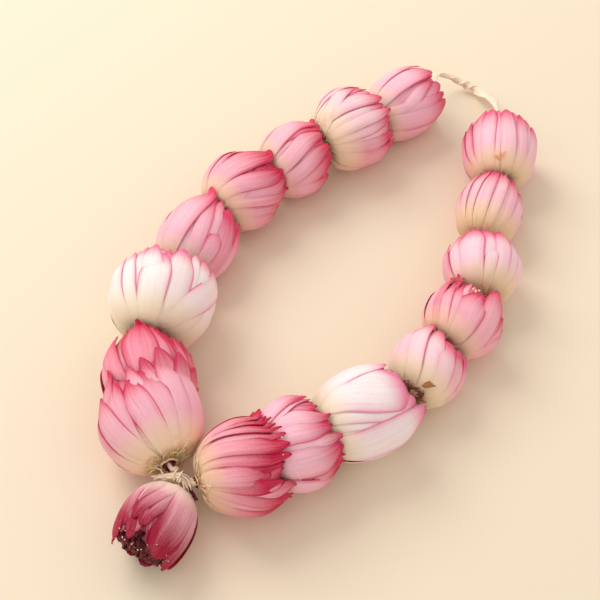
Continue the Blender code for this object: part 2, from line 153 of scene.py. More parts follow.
KINDS = {
    "plain": Kind(),
    "between": Kind(0.3, 0.8, 0.0, 0.0, 1.0, 0.7),
    "under": Kind(0.5, 0.5, -0.15, 0.0, 1.0, 0.35),
    "heart": Kind(0.3, 0.7, -0.15, 0.0, 2.0, 0.4),
    "wilted": Kind(0.3, 0.9, -0.05, 0.0, 3.5, 0.6, WILTED),
    "ridge": Kind(-0.1, 1.2, 0.1, 0.1),
    # dark: deeper in colour; partly petals that are crimson of their own, partly painted shade on petals that
    # lie in shade.
    "dark": Kind(0.0, 0.8, 0.3, 0.1),
    # pale: lighter in colour; partly petals that are paler of their own, partly a painted highlight on petals
    # that catch the light.
    "pale": Kind(0.2, 1.1, -0.3, 0.0),
    "curled": Kind(-0.2, 0.8, 0.25, 1.4, 1.5),
    "tan": Kind(-0.2, 0.3, 0.1, 0.3, 2.2, 1.0, TAN),
    "brown": Kind(-0.3, 0.2, 0.3, 0.4, 3.0, 1.0, BROWN),
}

BUDS = {
    "left_1": (-10, 0, 58, 64, 0.66, 0.2, (
        (-90, 42, 18, 0), (-75, 45, 10, 1, -5), (-60, 46, 15, 0, -20), (-40, 59, 10, 2, 30),
        (-36, 51, 14, 1, 10), (-13, 43, 14, 0, -15), (-8, 53, 9, 2, -15, "pale"), (5, 46, 16, 1, -10),
        (14, 54, 13, 2, -10), (38, 57, 16, 1, 5), (58, 54, 14, 0, -10), (80, 50, 16, 1))),
    "left_2": (-37, 20, 53, 55, 0.66, 0.1, (
        (-76, 40, 18, 1, -30), (-56, 46, 15, 0, -30), (-40, 45, 10, 2, -10), (-33, 46, 4, 1, -40, "tan"),
        (-26, 49, 9, 2, -20, "dark"), (-12, 51, 21, 0, -30), (9, 47, 9, 1, -40), (19, 44, 7, 1, -50, "dark"),
        (32, 42, 8, 2, -50, "dark"), (45, 40, 8, 1, -45), (57, 39, 7, 0, -50, "dark"), (68, 37, 10, 1, -20),
        (85, 36, 16, 0, -10))),
    "left_3": (-63, 59, 62, 64, 0.7, 0.5, (
        (-85, 42, 18, 1), (-62, 44, 17, 0, -15), (-45, 45, 14, 1, -15), (-28, 48, 13, 2, -30),
        (-15, 49, 12, 1, -30), (0, 41, 16, 0, -5), (6, 46, 5, 2, -35, "curled"), (22, 50, 13, 1, -10),
        (42, 51, 9, 2, 0, "pale"), (58, 51, 14, 1, -5), (84, 53, 16, 0, 50), (90, 32, 18, 0, -10),
        (100, 48, 18, 1, 15))),
    "left_4": (-79, 109, 48, 61, 0.56, 0.2, (
        (-75, 45, 18, 1), (-60, 34, 16, 1, -10), (-40, 52, 14, 1), (-12, 57, 21, 0, 10), (3, 52, 10, 1, -30),
        (18, 52, 14, 2, -45, "pale"), (42, 50, 18, 1, -50, "dark"), (43, 32, 12, 0, -20),
        (66, 47, 10, 1, -40, "dark"), (80, 48, 13, 0, -50), (96, 44, 16, 1, -20))),
    "left_5": (-81, 159, 50, 53, 0.6, 0.4, (
        (-62, 42, 20, 0), (-45, 42, 15, 1, 10), (-28, 44, 16, 2, -30), (8, 50, 20, 0, 35),
        (20, 44, 6, 1, -25, "curled"), (33, 45, 13, 2, 20), (50, 46, 14, 0, 50), (68, 49, 14, 1, 45),
        (85, 45, 8, 0, 50), (104, 38, 16, 1, 45), (116, 35, 22, 0, 30))),
    "left_6": (-73, 203, 48, 50, 0.6, 0.5, (
        (-65, 40, 18, 1), (-32, 43, 22, 0, -30), (-12, 43, 13, 1, 0, "dark"), (-2, 42, 11, 2, -10),
        (9, 41, 14, 0, -40), (25, 40, 6, 1, -50), (38, 42, 13, 0, -45), (58, 42, 15, 1, -40),
        (78, 40, 14, 2, -30), (98, 37, 16, 0), (116, 35, 20, 1))),
    "left_7": (-52, 238, 54, 57, 0.62, 0.5, (
        (-62, 41, 18, 0), (-45, 44, 14, 1, 15), (-27, 37, 12, 0, -30), (-22, 44, 8, 2, -10, "dark"),
        (-5, 40, 10, 2, -20), (13, 46, 11, 0, 25), (26, 44, 7, 1, 15), (39, 47, 8, 0, 10), (50, 44, 7, 1, 10),
        (64, 43, 10, 2, 15), (78, 43, 9, 1, 20, "dark"), (92, 44, 10, 2, 25, "dark"),
        (106, 46, 18, 0, 20, "dark"))),
    "left_8": (-36, 278, 45, 56, 0.52, 0.6, (
        (-72, 44, 22, 1), (-40, 48, 17, 0, -10), (-5, 50, 18, 0, -10), (8, 48, 7, 2, -35, "dark"),
        (23, 43, 10, 1, -50), (35, 50, 16, 2, -45), (58, 50, 10, 1, 20), (80, 50, 18, 0, 15),
        (104, 47, 16, 1))),
    "right_1": (9, -1, 54, 63, 0.66, 0.4, (
        (-80, 42, 16, 0), (-52, 44, 13, 1, -15, "dark"), (-42, 43, 11, 0), (-31, 44, 6, 1, 10, "ridge"),
        (-23, 46, 4, 0, 20, "ridge"), (-14, 47, 4, 1, 35, "ridge"), (-6, 49, 4, 0, 35, "ridge"),
        (2, 50, 5, 1, 30), (15, 50, 9, 0, 30), (28, 49, 8, 1, 35, "dark"), (36, 45, 8, 2, 35, "dark"),
        (43, 36, 12, 0, 15), (60, 42, 9, 0, 30, "dark"), (73, 48, 12, 1, 50, "pale"),
        (88, 46, 8, 0, 50, "dark"), (97, 42, 8, 1, 40), (113, 41, 9, 0, 45, "dark"))),
    "right_2": (30, 24, 53, 54, 0.6, 0.3, (
        (-65, 36, 18, 1), (-50, 40, 24, 0, -20), (-34, 40, 8, 1, -25, "pale"), (-17, 41, 13, 2, -30),
        (8, 44, 11, 1, 40), (23, 42, 11, 0, 20), (43, 45, 9, 1, 45, "pale"), (58, 43, 20, 0, 15),
        (75, 43, 10, 1, -45, "dark"), (95, 43, 11, 2, -15, "dark"), (110, 40, 15, 0, 35))),
    "right_3": (48, 55, 52, 67, 0.56, 0.65, (
        (-65, 47, 20, 1), (-40, 50, 18, 0, -5), (-9, 53, 14, 1, -10), (12, 53, 36, 0, 55),
        (38, 56, 16, 1, 40), (48, 53, 9, 2, 30), (70, 62, 24, 0, -5), (90, 59, 20, 1, 20),
        (105, 53, 16, 1, 30))),
    "right_4": (80, 104, 44, 49, 0.6, 0.8, (
        (-65, 37, 18, 1), (-52, 41, 25, 1), (-30, 42, 14, 0, -30), (-5, 39, 15, 1, -40),
        (23, 33, 16, 0, -40), (54, 35, 16, 1, -45, "dark"), (76, 37, 15, 0, -50, "dark"),
        (84, 35, 15, 1, -30), (42, 8, 7, -0.7, 10, "brown", 3))),
    "right_5": (81, 143, 47, 52, 0.6, 0.2, (
        (-65, 38, 17, 1), (-50, 39, 8, 0, -20, "dark"), (-44, 38, 14, 2, -25, "dark"), (-35, 29, 10, 0, -30),
        (-22, 30, 13, 1, -20), (-17, 35, 7, 2, -30, "pale"), (-2, 34, 7, 2, -25, "dark"),
        (10, 31, 20, 0, -20), (25, 35, 7, 1, -50, "dark"), (30, 43, 17, 0, -50), (50, 38, 10, 1, -30, "dark"),
        (72, 36, 16, 1, -20), (95, 34, 16, 0))),
    "right_6": (88, 184, 47, 50, 0.64, 0.6, (
        (-95, 34, 16, 1), (-73, 36, 14, 0, 5, "dark"), (-50, 37, 14, 1, 5), (-20, 38, 20, 0, 5),
        (5, 37, 14, 1), (12, 25, 9, 0, 10), (28, 37, 13, 0), (50, 36, 14, 1), (73, 34, 16, 0))),
    "right_7": (67, 225, 41, 54, 0.62, 0.5, (
        (-76, 39, 14, 0), (-62, 42, 12, 1), (-50, 44, 10, 0, 10), (-38, 46, 9, 1, 10), (-27, 45, 8, 0, 15),
        (-17, 46, 8, 1, 10), (-6, 45, 8, 0, 5), (4, 46, 8, 1), (13, 45, 8, 0, -5), (22, 43, 9, 1, -10),
        (34, 42, 10, 0, -10), (47, 40, 12, 1), (63, 38, 14, 0), (83, 36, 16, 1))),
    "right_8": (59, 270, 47, 57, 0.58, 0.4, (
        (-92, 42, 18, 0, 0, "dark"), (-72, 44, 16, 1, 5, "dark"), (-52, 46, 12, 2), (-38, 49, 10, 1, 10),
        (-22, 46, 13, 0, 10), (-11, 45, 8, 1, 10), (4, 45, 12, 0, -10), (16, 44, 10, 1, -15),
        (28, 43, 10, 0, -15), (42, 42, 10, 1, -10), (60, 40, 13, 0), (82, 38, 16, 1))),
    "pendant": (-1, -7, 40, 47, 0.72, 0.5, (
        (-82, 45, 24, 1), (-42, 44, 27, 0, 5), (-14, 33, 12, 2, 5), (5, 33, 14, 1, 40), (22, 31, 12, 0, 45),
        (40, 35, 11, 1, -30), (52, 43, 13, 0, -40, "dark"), (80, 43, 20, 1, -10, "dark"),
        (-20, 40, 15, 2, 0, "dark"), (20, 41, 15, 2, 0, "dark"))),
}
ARMS = (
    tuple(f"left_{n}" for n in range(1, 9)),
    tuple(f"right_{n}" for n in range(1, 9)),
)
ARM_ENDS = ((-12, 330), (34, 327))
PENDANT_END = (3, -49)

# Each bud's colours, as seen on a screen: the pale middle of a petal, its deep tip and its base. Then how far
# the base's colour runs, where the deep tip starts, how dark the rim is (the petal's own deeper rim, and
# painted shade along its edges), how streaked it is, how far the petals bulge in millimetres and how crumpled
# they are.
LOOKS = {
    "left_1": ((246, 178, 194), (204, 48, 88), (252, 220, 182), 0.12, 0.45, 0.8, 0.5, 1.1, 0.2),
    "left_2": ((246, 152, 172), (200, 36, 78), (246, 200, 170), 0.05, 0.36, 0.8, 0.6, 1.1, 0.3),
    "left_3": ((254, 234, 232), (238, 110, 150), (252, 230, 196), 0.16, 0.62, 0.9, 0.3, 1.4, 0.15),
    "left_4": ((250, 184, 200), (226, 64, 108), (250, 212, 182), 0.1, 0.42, 0.8, 0.5, 1.2, 0.2),
    "left_5": ((248, 172, 188), (206, 40, 82), (252, 216, 176), 0.12, 0.24, 0.8, 0.6, 1.2, 0.3),
    "left_6": ((250, 184, 198), (212, 50, 90), (252, 214, 174), 0.1, 0.3, 0.8, 0.5, 1.4, 0.2),
    "left_7": ((252, 206, 214), (222, 66, 106), (252, 220, 184), 0.17, 0.48, 0.8, 0.5, 1.4, 0.2),
    "left_8": ((252, 190, 206), (220, 64, 104), (252, 214, 176), 0.12, 0.46, 0.8, 0.4, 1.2, 0.15),
    "right_1": ((246, 168, 182), (196, 28, 70), (242, 204, 160), 0.1, 0.18, 0.6, 0.6, 0.9, 0.4),
    "right_2": ((252, 188, 204), (204, 40, 84), (246, 202, 172), 0.06, 0.4, 0.8, 0.5, 1.2, 0.3),
    "right_3": ((254, 234, 236), (234, 120, 156), (252, 224, 184), 0.16, 0.66, 0.8, 0.35, 0.9, 0.15),
    "right_4": ((253, 206, 214), (228, 84, 122), (250, 216, 180), 0.2, 0.54, 0.8, 0.35, 1.2, 0.2),
    "right_5": ((250, 178, 192), (216, 52, 92), (250, 206, 168), 0.1, 0.42, 0.8, 0.5, 1.2, 0.3),
    "right_6": ((254, 206, 218), (230, 78, 124), (248, 208, 170), 0.16, 0.56, 0.9, 0.35, 1.2, 0.15),
    "right_7": ((252, 192, 204), (224, 64, 110), (248, 206, 166), 0.22, 0.46, 0.8, 0.5, 1.2, 0.2),
    "right_8": ((253, 194, 208), (224, 64, 108), (248, 210, 168), 0.14, 0.46, 0.8, 0.5, 1.2, 0.2),
    "pendant": ((252, 188, 202), (156, 18, 56), (254, 228, 212), 0.14, -0.1, 0.7, 0.5, 1.0, 0.5),
}

# The camera, in millimetres from the knot, and its angles in degrees.
CAMERA_PLACE = np.array((198.0, -221.0, 601.0))
CAMERA_AZIMUTH = 30.0
CAMERA_DOWN = 55.0
LENS = 72.2
SENSOR = 36.0

# The thread: its route through each bud, across the bare gap and to the knot. At each point of the bare
# stretch it has its width, how thick it is for its width, and how far its flat side has turned.
THREAD_SHARE = 0.45
OPEN_BORE = 0.74
OPEN_EXIT = 0.93
FREE_THREAD = ((-19, 340, 19), (-13, 349, 12), (-4, 354, 6), (6, 354, 5), (16, 348, 9), (25, 338, 17))
FREE_WIDTHS = (4.4, 2.6, 6.0, 6.4, 8.6, 8.0)
FREE_FLATNESS = (0.5, 0.7, 0.5, 0.5, 0.32, 0.35)
FREE_TURNS = (0, 180, 420, 690, 735, 740)
HIDDEN_WIDTH = 3.2
HIDDEN_FLATNESS = 0.7
STRAND_STEP = 1.2
LOOP_START = (-3.9, -1.1, 28.5)
LOOP_END = (4.2, -1.8, 26.3)
DROP_START = (-0.4, -2.2, 22.8)
FIBRE_COLOURS = ((252, 228, 204), (226, 184, 154), (244, 214, 186))

# The knot, from its loose end to where it reaches the right arm: the middle of it and its radius.
KNOT = ((-14, -8.5, 24.5, 0.6), (-11, -8.4, 26.5, 1.2), (-7.5, -7.4, 28.2, 1.8), (-3.8, -5.4, 28.6, 2.8),
        (-0.6, -3.8, 28.2, 3.3), (2, -4, 27, 2.7), (3.6, -5.2, 24.8, 1.5), (4.6, -6.4, 22.6, 0.6))
KNOT_STRANDS = 7
KNOT_WRAPS = (-2.4, 0.6)
WISPS = (
    ((-9, -8, 28), (-13, -10, 27), (-16, -9.5, 23)),
    ((-8, -8, 29), (-11, -6, 29.5), (-15, -6, 28)),
    ((-6, -7.5, 29.5), (-9, -10, 30), (-12, -12, 27)),
    ((1, -5, 29), (4, -7, 28), (6, -10, 25)),
    ((2, -3.5, 29), (4.5, -6, 27), (5.5, -9, 23)),
    ((-0.5, -3.5, 30.6), (3, -3.2, 29.4), (6, -4.4, 28), (8, -6.2, 26.8)),
    ((0, -4.6, 30.4), (3.4, -4.6, 29), (6.4, -5.4, 27.4), (8.6, -6.8, 26.4)),
    ((-1, -2.6, 30.4), (2.4, -1.8, 29), (5.4, -2.4, 28)),
    ((1, -5.6, 29.4), (4.6, -6, 28.2), (7.4, -7.4, 26.2)),
)

# Torn dry fibres over a base: how many, shortest and longest, thickest, colours, from and to which angle.
DRY = ((252, 222, 184), (226, 178, 132), (242, 206, 164))
OCHRE = ((254, 222, 164), (236, 186, 126), (248, 212, 152))
UMBER = ((150, 88, 56), (92, 44, 30), (130, 76, 48))
HUSKS = {
    "left_1": (46, 0.2, 1.2, 1.0, OCHRE, -180, 180),
    "left_7": (8, 0.5, 2, 0.7, OCHRE, 20, 80),
    "right_1": (60, 0.5, 6, 0.7, DRY, -180, 180),
    "right_4": (26, 0.4, 1.6, 1.2, UMBER, -50, 80),
    "right_7": (8, 0.5, 3, 0.6, DRY, -30, 40),
    "pendant": (40, 0.3, 2.5, 0.8, DRY, -180, 180),
}

# Dark maroon shreds round the thread where it leaves a base, partly the cut stalk's own and partly painted
# shade
# on the thread there: how many, how far out from the base, and their colours.
MAROON = ((112, 34, 42), (62, 14, 24), (100, 40, 40))
SHREDS_AND_SHADE = {"left_1": (30, 4.5), "right_1": (18, 3.0), "right_4": (16, 3.0)}
SLIVERS = {
    "right_1": (((4.6, -5.3, 24.0), (7.5, -6.6, 23.4), (10.5, -7.4, 22.6), (13.2, -8.2, 21.8)),
                ((5.2, -5.0, 25.0), (8.0, -6.0, 24.4), (11.0, -7.6, 23.4), (12.6, -9.0, 22.8)),
                ((9.0, -7.6, 22.4), (11.2, -9.0, 22.0), (12.4, -10.6, 21.4))),
}

# Loose bits: how many, smallest and largest, from and to how far along, from and to which angle.
CRUMB_COLOUR = (248, 214, 202)
CRUMB_LIFT = 0.7
CRUMBS = {
    "pendant": (24, 0.18, 0.36, 37, 46, -70, 60),
    "right_1": (9, 0.25, 0.45, 43, 50, 5, 85),
    "right_5": (7, 0.3, 0.7, 27, 30, -10, 8),
    "right_2": (4, 0.3, 0.6, 35, 38, -33, -22),
}

# A few orange threads that a bud has lost, at a length along it and an angle.
STAMENS = {"right_8": (5, 5.5, -9)}
STAMEN_COLOUR = (240, 150, 30)

# The studio: the floor's colour as it looks, the sky, and each light's place, size, power and colour.
FLOOR_COLOUR = (233, 219, 196)
SKY_COLOUR = (1.0, 0.95, 0.89, 1)
SKY_STRENGTH = 0.85
LIGHTS = (
    ("key", (-0.95, 0.28, 1.1), 0.9, 11.5, (1.0, 0.97, 0.93)),
)


def tint(red, green, blue):
    """A linear colour from one given as it looks on a screen, out of 255."""
    return np.array([(v / 255) ** 2.2 for v in (red, green, blue)])


def smooth(low, high, value):
    """0 below low, 1 above high, and a soft rise between them."""
    x = np.clip((value - low) / (high - low), 0, 1)
    return x * x * (3 - 2 * x)


def unit(vector):
    return vector / np.linalg.norm(vector)


class Bud:
    """One bud's place, outer shape and colours. Lengths along it start at its base."""

    def __init__(self, name, end):
        x, y, width, length, mouth, roundness, petals = BUDS[name]
        self.name = name
        self.radius = width / 2
        self.length = length
        self.mouth = mouth
        self.roundness = roundness
        self.petals = [Petal(*petal) for petal in petals]
        self.base = np.array((x, y, SEAT * self.radius))
        self.axis = unit(np.array((end[0] - x, end[1] - y, 0.0)))
        self.side = np.cross(self.axis, UP)
        pale, deep, cream, *numbers = LOOKS[name]
        self.colours = (tint(*pale), tint(*deep), tint(*cream))
        self.cream_to, self.deep_from, self.rim, self.vein, self.puff, self.crumple = numbers

    def swell(self, along):
        """The bud's outer radius at a length along it."""
        share = np.maximum(0.0, along / self.length)
        rise = 1 - np.clip(1 - share / BELLY, 0, 1) ** BASE_POWER
        low = STUB + (1 - STUB) * np.sqrt(rise)
        fall = np.maximum(0.0, (share - BELLY) / (1 - BELLY))
        high = np.maximum(LEAST_SWELL, 1 - (1 - self.mouth) * fall ** MOUTH_POWER)
        return self.radius * np.where(share < BELLY, low, high)

    def point(self, along, radius, degrees):
        angle = np.radians(degrees)
        spoke = np.multiply.outer(np.cos(angle), UP) + np.multiply.outer(np.sin(angle), self.side)
        return self.base + np.multiply.outer(along, self.axis) + spoke * np.asarray(radius)[..., None]

    def outline(self):
        """Points down the middle of the base and along the side, and which way is out at each of them."""
        t = np.linspace(0, OUTLINE_TO * self.length, OUTLINE_STEPS)
        low = float(self.swell(0.0))
        middle = np.linspace(0, low, OUTLINE_STEPS // 8, endpoint=False)
        curve = np.stack([np.append(np.zeros(len(middle)), t), np.append(middle, self.swell(t))], axis=1)
        ahead = np.gradient(curve, axis=0)
        out = np.stack([-ahead[:, 1], ahead[:, 0]], axis=1)
        return curve, out / np.linalg.norm(out, axis=1)[:, None]

    def pushed_clear(self, points, room, outward=0.0):
        """The points, with those in or too near this bud moved clear: square to it, or more straight out."""
        offset = points - self.base
        along = offset @ self.axis
        spoke = offset - np.multiply.outer(along, self.axis)
        reach = np.maximum(np.linalg.norm(spoke, axis=-1), 0.1)
        curve, out = self.outline()
        gaps = np.hypot(along[..., None] - curve[:, 0], reach[..., None] - curve[:, 1])
        nearest = np.argmin(gaps, axis=-1)
        gap = np.take_along_axis(gaps, nearest[..., None], axis=-1)[..., 0]
        inside = (along > 0) & (reach < self.swell(along))
        short = room - np.where(inside, -gap, gap)
        short = np.where((short > 0) & (along < OUTLINE_TO * self.length), short, 0)
        way = out[nearest] + np.array((0.0, outward))
        way /= np.linalg.norm(way, axis=-1)[..., None]
        short = short / np.maximum(0.4, (way * out[nearest]).sum(axis=-1))
        along = along + way[..., 0] * short
        grown = 1 + way[..., 1] * short / reach
        return self.base + np.multiply.outer(along, self.axis) + spoke * grown[..., None]

    def drawn_in(self, points, room, most):
        """The points, with those outside this bud moved in towards it, by no more than the most."""
        offset = points - self.base
        along = offset @ self.axis
        spoke = offset - np.multiply.outer(along, self.axis)
        reach = np.maximum(np.linalg.norm(spoke, axis=-1), 1)
        shift = np.clip(reach - self.swell(np.minimum(along, self.length)) - room, 0, most)
        return points - spoke * (shift / reach)[..., None]

    def mean_reach(self):
        return sum(petal.reach for petal in self.petals) / len(self.petals)

    def reach_near(self, degrees):
        """How far the outer petals reach on one side: the least of those that cover it, or the mean."""
        turned = (degrees + 180) % 360 - 180
        over = [petal.reach for petal in self.petals if abs(petal.angle - turned) < petal.half_angle + 4]
        return min(over, default=self.mean_reach())


class Sheaf:
    """Gathers thin closed shells and their looks, and turns them into one mesh."""

    def __init__(self):
        self.points = []
        self.faces = []
        self.places = []
        self.looks = {"pale": [], "deep": [], "cream": [], "tone": [], "look": []}
        self.count = 0

    def add(self, points, faces, places, colours, tone, look=(0, 0, 0)):
        """Points with their places on a petal, three colours, how much of each, and rim, vein and chance."""
        self.points.append(points)
        self.faces.append(np.asarray(faces) + self.count)
        self.places.append(places)
        for label, value in zip(self.looks, (*colours, tone, look)):
            self.looks[label].append(np.broadcast_to(value, (len(points), 3)))
        self.count += len(points)

    def piece(self, name, material):
        mesh = bpy.data.meshes.new(name)
        points = (np.concatenate(self.points) - CENTRE) * MM
        mesh.from_pydata(points.tolist(), [], np.concatenate(self.faces).tolist())
        corners = np.empty(len(mesh.loops), np.int32)
        mesh.loops.foreach_get("vertex_index", corners)
        uv = mesh.uv_layers.new(name="petal")
        uv.data.foreach_set("uv", np.concatenate(self.places)[corners].ravel())
        for label, rows in self.looks.items():
            layer = mesh.attributes.new(label, "FLOAT_VECTOR", "POINT")
            layer.data.foreach_set("vector", np.concatenate(rows).astype(np.float32).ravel())
        mesh.materials.append(material)
        mesh.shade_smooth()
        obj = bpy.data.objects.new(name, mesh)
        bpy.context.scene.collection.objects.link(obj)
        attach(obj, "root")
        return obj


def petal_share(u, roundness):
    """Half a petal's width at a share of its length, as a share of its widest."""
    start = TIP_START + ROUND_START * roundness
    x = np.clip((u - start) / (1 - start), 0, 1)
    return (1 - x ** (TIP_POWER + ROUND_POWER * roundness)) ** (1 - ROUND_EASE * roundness)


def shell_of(grid, thickness):
    """Both sides of a grid of points, closed at its edges, as points, faces and the grid place of each."""
    rows, columns = grid.shape[:2]
    along = np.gradient(grid, axis=0)
    across = np.gradient(grid, axis=1)
    normal = np.cross(across, along)
    normal /= np.maximum(np.linalg.norm(normal, axis=-1), 1e-9)[..., None]
    front = grid + normal * (thickness / 2)[..., None]
    back = grid - normal * (thickness / 2)[..., None]
    index = np.arange(rows * columns).reshape(rows, columns)
    inner = index[1:-1, 1:-1]
    behind = index.copy()
    behind[1:-1, 1:-1] = rows * columns + np.arange(inner.size).reshape(inner.shape)
    points = np.concatenate([front.reshape(-1, 3), back[1:-1, 1:-1].reshape(-1, 3)])
    place = np.concatenate([index.ravel(), inner.ravel()])
    faces = []
    for sheet, turned in ((index, False), (behind, True)):
        cell = [sheet[:-1, :-1], sheet[:-1, 1:], sheet[1:, 1:], sheet[1:, :-1]]
        quads = np.stack(cell, axis=-1).reshape(-1, 4)
        faces.append(quads[:, ::-1] if turned else quads)
    return points, np.concatenate(faces), place


def petal_grid(bud, petal, around, draw, grid_size, scale):
    """The middle surface of one petal, with each point's place across and along it."""
    kind = KINDS[petal.kind]
    following, neighbours = around
    columns, rows = grid_size
    s = np.sin(np.linspace(-math.pi / 2, math.pi / 2, columns))
    u = np.linspace(0, 1, rows) ** 0.8 * TIP_SHARE
    s, u = np.meshgrid(s, u)
    phase = draw.uniform(0, 6.3)
    crumple = bud.crumple * kind.crumple * 2
    along = petal.start + (petal.reach - petal.start) * u
    share = petal_share(u, min(1.1, max(0.0, bud.roundness + BLUNTER + kind.blunt)))
    if petal.start:
        share = share * smooth(-0.3, 0.4, u)
    share = share * (1 + (0.02 + 0.05 * crumple) * np.sin(9 * u + phase + 3 * s) * smooth(0.3, 0.8, u))
    widening = np.minimum(MOST_WIDENING, (bud.radius / bud.swell(along)) ** WIDTH_KEPT)
    widening = np.where(along > BELLY * bud.length, widening, 1.0)
    bend = petal.lean + draw.uniform(-2, 2)
    degrees = petal.angle - bend * (1 - u) ** 1.5 + petal.half_angle * share * widening * s
    hidden = np.where(s < 0, 1.0, min(1.0, petal.layer))
    degrees = degrees + HIDDEN_EDGE * s * hidden * (1 - smooth(0.5, 0.95, u))
    rise = smooth(0.02, 0.3, along / petal.reach)
    depth = (LAYER_STEP * petal.layer - SHINGLE * s * share) * (0.35 + 0.65 * rise)
    bulge = bud.puff * kind.puff * (0.5 - 0.7 * s ** 2) * rise * (1 - 0.4 * smooth(0.75, 1, u))
    waves = 0.3 * np.sin(4 * s + 10 * u + phase) * smooth(0.5, 1, u)
    folds = crumple * (0.12 * np.sin(8 * s + phase) + waves)
    ribs = 0.05 * np.cos(19 * s + phase) * smooth(0.1, 0.4, u)
    edge = 0.45 * s ** 8 * smooth(0.3, 0.9, u)
    tip = (kind.lift + draw.uniform(-0.5, 0.2)) * smooth(0.75, 1, u) ** 2
    closing = 1 - (1 - scale) * 0.5 * smooth(0.5, 1, u)
    radius = bud.swell(along) * scale * closing - depth + bulge + (folds + ribs) * rise + edge + tip
    points = bud.point(along, radius, degrees)
    if following is not None:
        room = NEXT_ROOM + NEXT_STEP * max(0, LAYERS - petal.layer) + folds + 0.4 * (1 - s ** 2)
        points = following.drawn_in(points, room, TUCK * smooth(0.6, 1, u))
        outward = OUTWARD * max(0, 1 - petal.layer / 2)
        points = following.pushed_clear(points, room + kind.lift * 0.5 * smooth(0.8, 1, u), outward)
    for other in neighbours:
        points = other.pushed_clear(points, NEIGHBOUR_ROOM)
    points[..., 2] = np.maximum(points[..., 2], FLOOR_ROOM + 0.1 * petal.layer)
    return points, s, u, along


def add_petal(sheaf, bud, petal, around, draw, grid_size=FINE_GRID, scale=1.0):
    """One petal as a thin closed shell, deeper in colour at its tip and edges. The deeper edges are partly
    the petal's own rim colour and partly painted shade where its neighbours overlap it.
    """
    points, s, u, along = petal_grid(bud, petal, around, draw, grid_size, scale)
    kind = KINDS[petal.kind]
    thickness = THICKNESS * (1 - 0.7 * s ** 8) * (1 - 0.6 * smooth(0.9, 1, u))
    shell, faces, place = shell_of(points, thickness)
    share = along / bud.length
    cream = 1 - smooth(bud.cream_to - 0.14, bud.cream_to + 0.2, share)
    tip = kind.tipped * smooth(bud.deep_from, 1.02, u) ** 1.4
    # Deeper towards both edges: partly the petal's own rim colour, partly painted shade where neighbours
    # overlap it.
    edges = 0.5 * bud.rim * smooth(0.45, 1, np.abs(s)) ** 1.5 * smooth(0.1, 0.5, u)
    deep = np.clip(tip + edges + kind.darker + draw.uniform(-0.1, 0.1), 0, 1)
    frayed = smooth(0.9, 0.98, u)
    tone = np.stack([cream, deep, frayed], axis=-1).reshape(-1, 3)[place]
    places = np.stack([s * 0.5 + 0.5, u], axis=-1).reshape(-1, 2)[place]
    colours = [tint(*colour) for colour in kind.colours] or bud.colours
    sheaf.add(shell, faces, places, colours, tone, (bud.rim, bud.vein, draw.random()))


def rear_petals(bud, draw):
    """The petals on the sides that the photograph doesn't show, evenly round the rest of the bud."""
    first = min(bud.petals)
    last = max(bud.petals)
    start = last.angle + last.half_angle
    stop = first.angle + 360 - first.half_angle
    count = max(2, round((stop - start) / REAR_STEP))
    step = (stop - start) / count
    petals = []
    for i in range(count):
        reach = bud.mean_reach() + draw.uniform(-REAR_SPREAD, REAR_SPREAD)
        layer = (i + last.layer + 1) % 2
        petals.append(Petal(start + (i + 0.5) * step, reach, REAR_HALF_ANGLE, layer, draw.uniform(-5, 5)))
    return petals


def between_petals(bud, draw):
    """Petals just inside the outer ones, whose tips show in the notches between theirs."""
    outer = sorted(bud.petals)
    petals = []
    for first, second in zip(outer, outer[1:]):
        angle = (first.angle + second.angle) / 2 + draw.uniform(-3, 3)
        reach = min(max(first.reach, second.reach), bud.mean_reach() + 1) + draw.uniform(-4, -1)
        petals.append(Petal(angle, reach, 13, BETWEEN_DEPTH, 0, "between"))
    return petals


def under_petals(bud, draw):
    """Petals deep in the mouth, all the way round, that close the gaps between the outer ones."""
    count = round(360 / UNDER_STEP)
    petals = []
    for i in range(count):
        angle = (i + draw.uniform(-0.2, 0.2)) * 360 / count
        reach = min(bud.reach_near(angle), bud.mean_reach()) + draw.uniform(-3, -1)
        petals.append(Petal(angle, reach, UNDER_HALF_ANGLE, UNDER_DEPTH + 0.4 * (i % 2), 0, "under"))
    return petals


def add_heart(sheaf, bud, around, draw):
    """Rings of small petals that close an open mouth, or that stand round the next bud's base."""
    rings, layer = (HEART_RINGS, 0) if around[0] is None else (MOUTH_RINGS, LAYERS)
    for scale, count, drop in rings:
        drop = drop * HEART_DROPS.get(bud.name, 1.0)
        for i in range(count):
            angle = (i + draw.uniform(-0.25, 0.25)) * 360 / count
            reach = min(bud.reach_near(angle), bud.mean_reach()) - drop + draw.uniform(-1.2, 1.2)
            kind = HEART_KINDS.get(bud.name, "heart")
            petal = Petal(angle, reach, 250 / count, layer + draw.uniform(-0.3, 0.3), 0, kind)
            add_petal(sheaf, bud, petal, around, draw, COARSE_GRID, scale)


def add_lathe(sheaf, bud, profile, colours, deep):
    """A closed ring turned round the bud's axis from (along, radius) pairs, going once round its section."""
    turns = np.linspace(0, 360, CORE_SIDES, endpoint=False)
    along = np.array([row[0] for row in profile], float)
    radius = np.array([row[1] for row in profile], float)
    turn_grid, along_grid = np.meshgrid(turns, along)
    uneven = 1 + 0.05 * np.sin(np.radians(turns) * 5) + 0.04 * np.sin(np.radians(turns) * 9 + 1)
    radius_grid = np.where(radius[:, None] > BORE_RADIUS, radius[:, None] * uneven, radius[:, None])
    points = bud.point(along_grid.ravel(), radius_grid.ravel(), turn_grid.ravel())
    index = np.arange(points.shape[0]).reshape(len(profile), CORE_SIDES)
    right = np.roll(index, -1, axis=1)
    down = np.roll(index, -1, axis=0)
    quads = np.stack([index, right, np.roll(right, -1, axis=0), down], axis=-1).reshape(-1, 4)
    points[:, 2] = np.maximum(points[:, 2], FLOOR_ROOM)
    places = np.stack([turn_grid.ravel() / 90, along_grid.ravel() / bud.length], axis=1)
    sheaf.add(points, quads, places, colours, (0, deep, 0), (0, 0.8, 0.3))


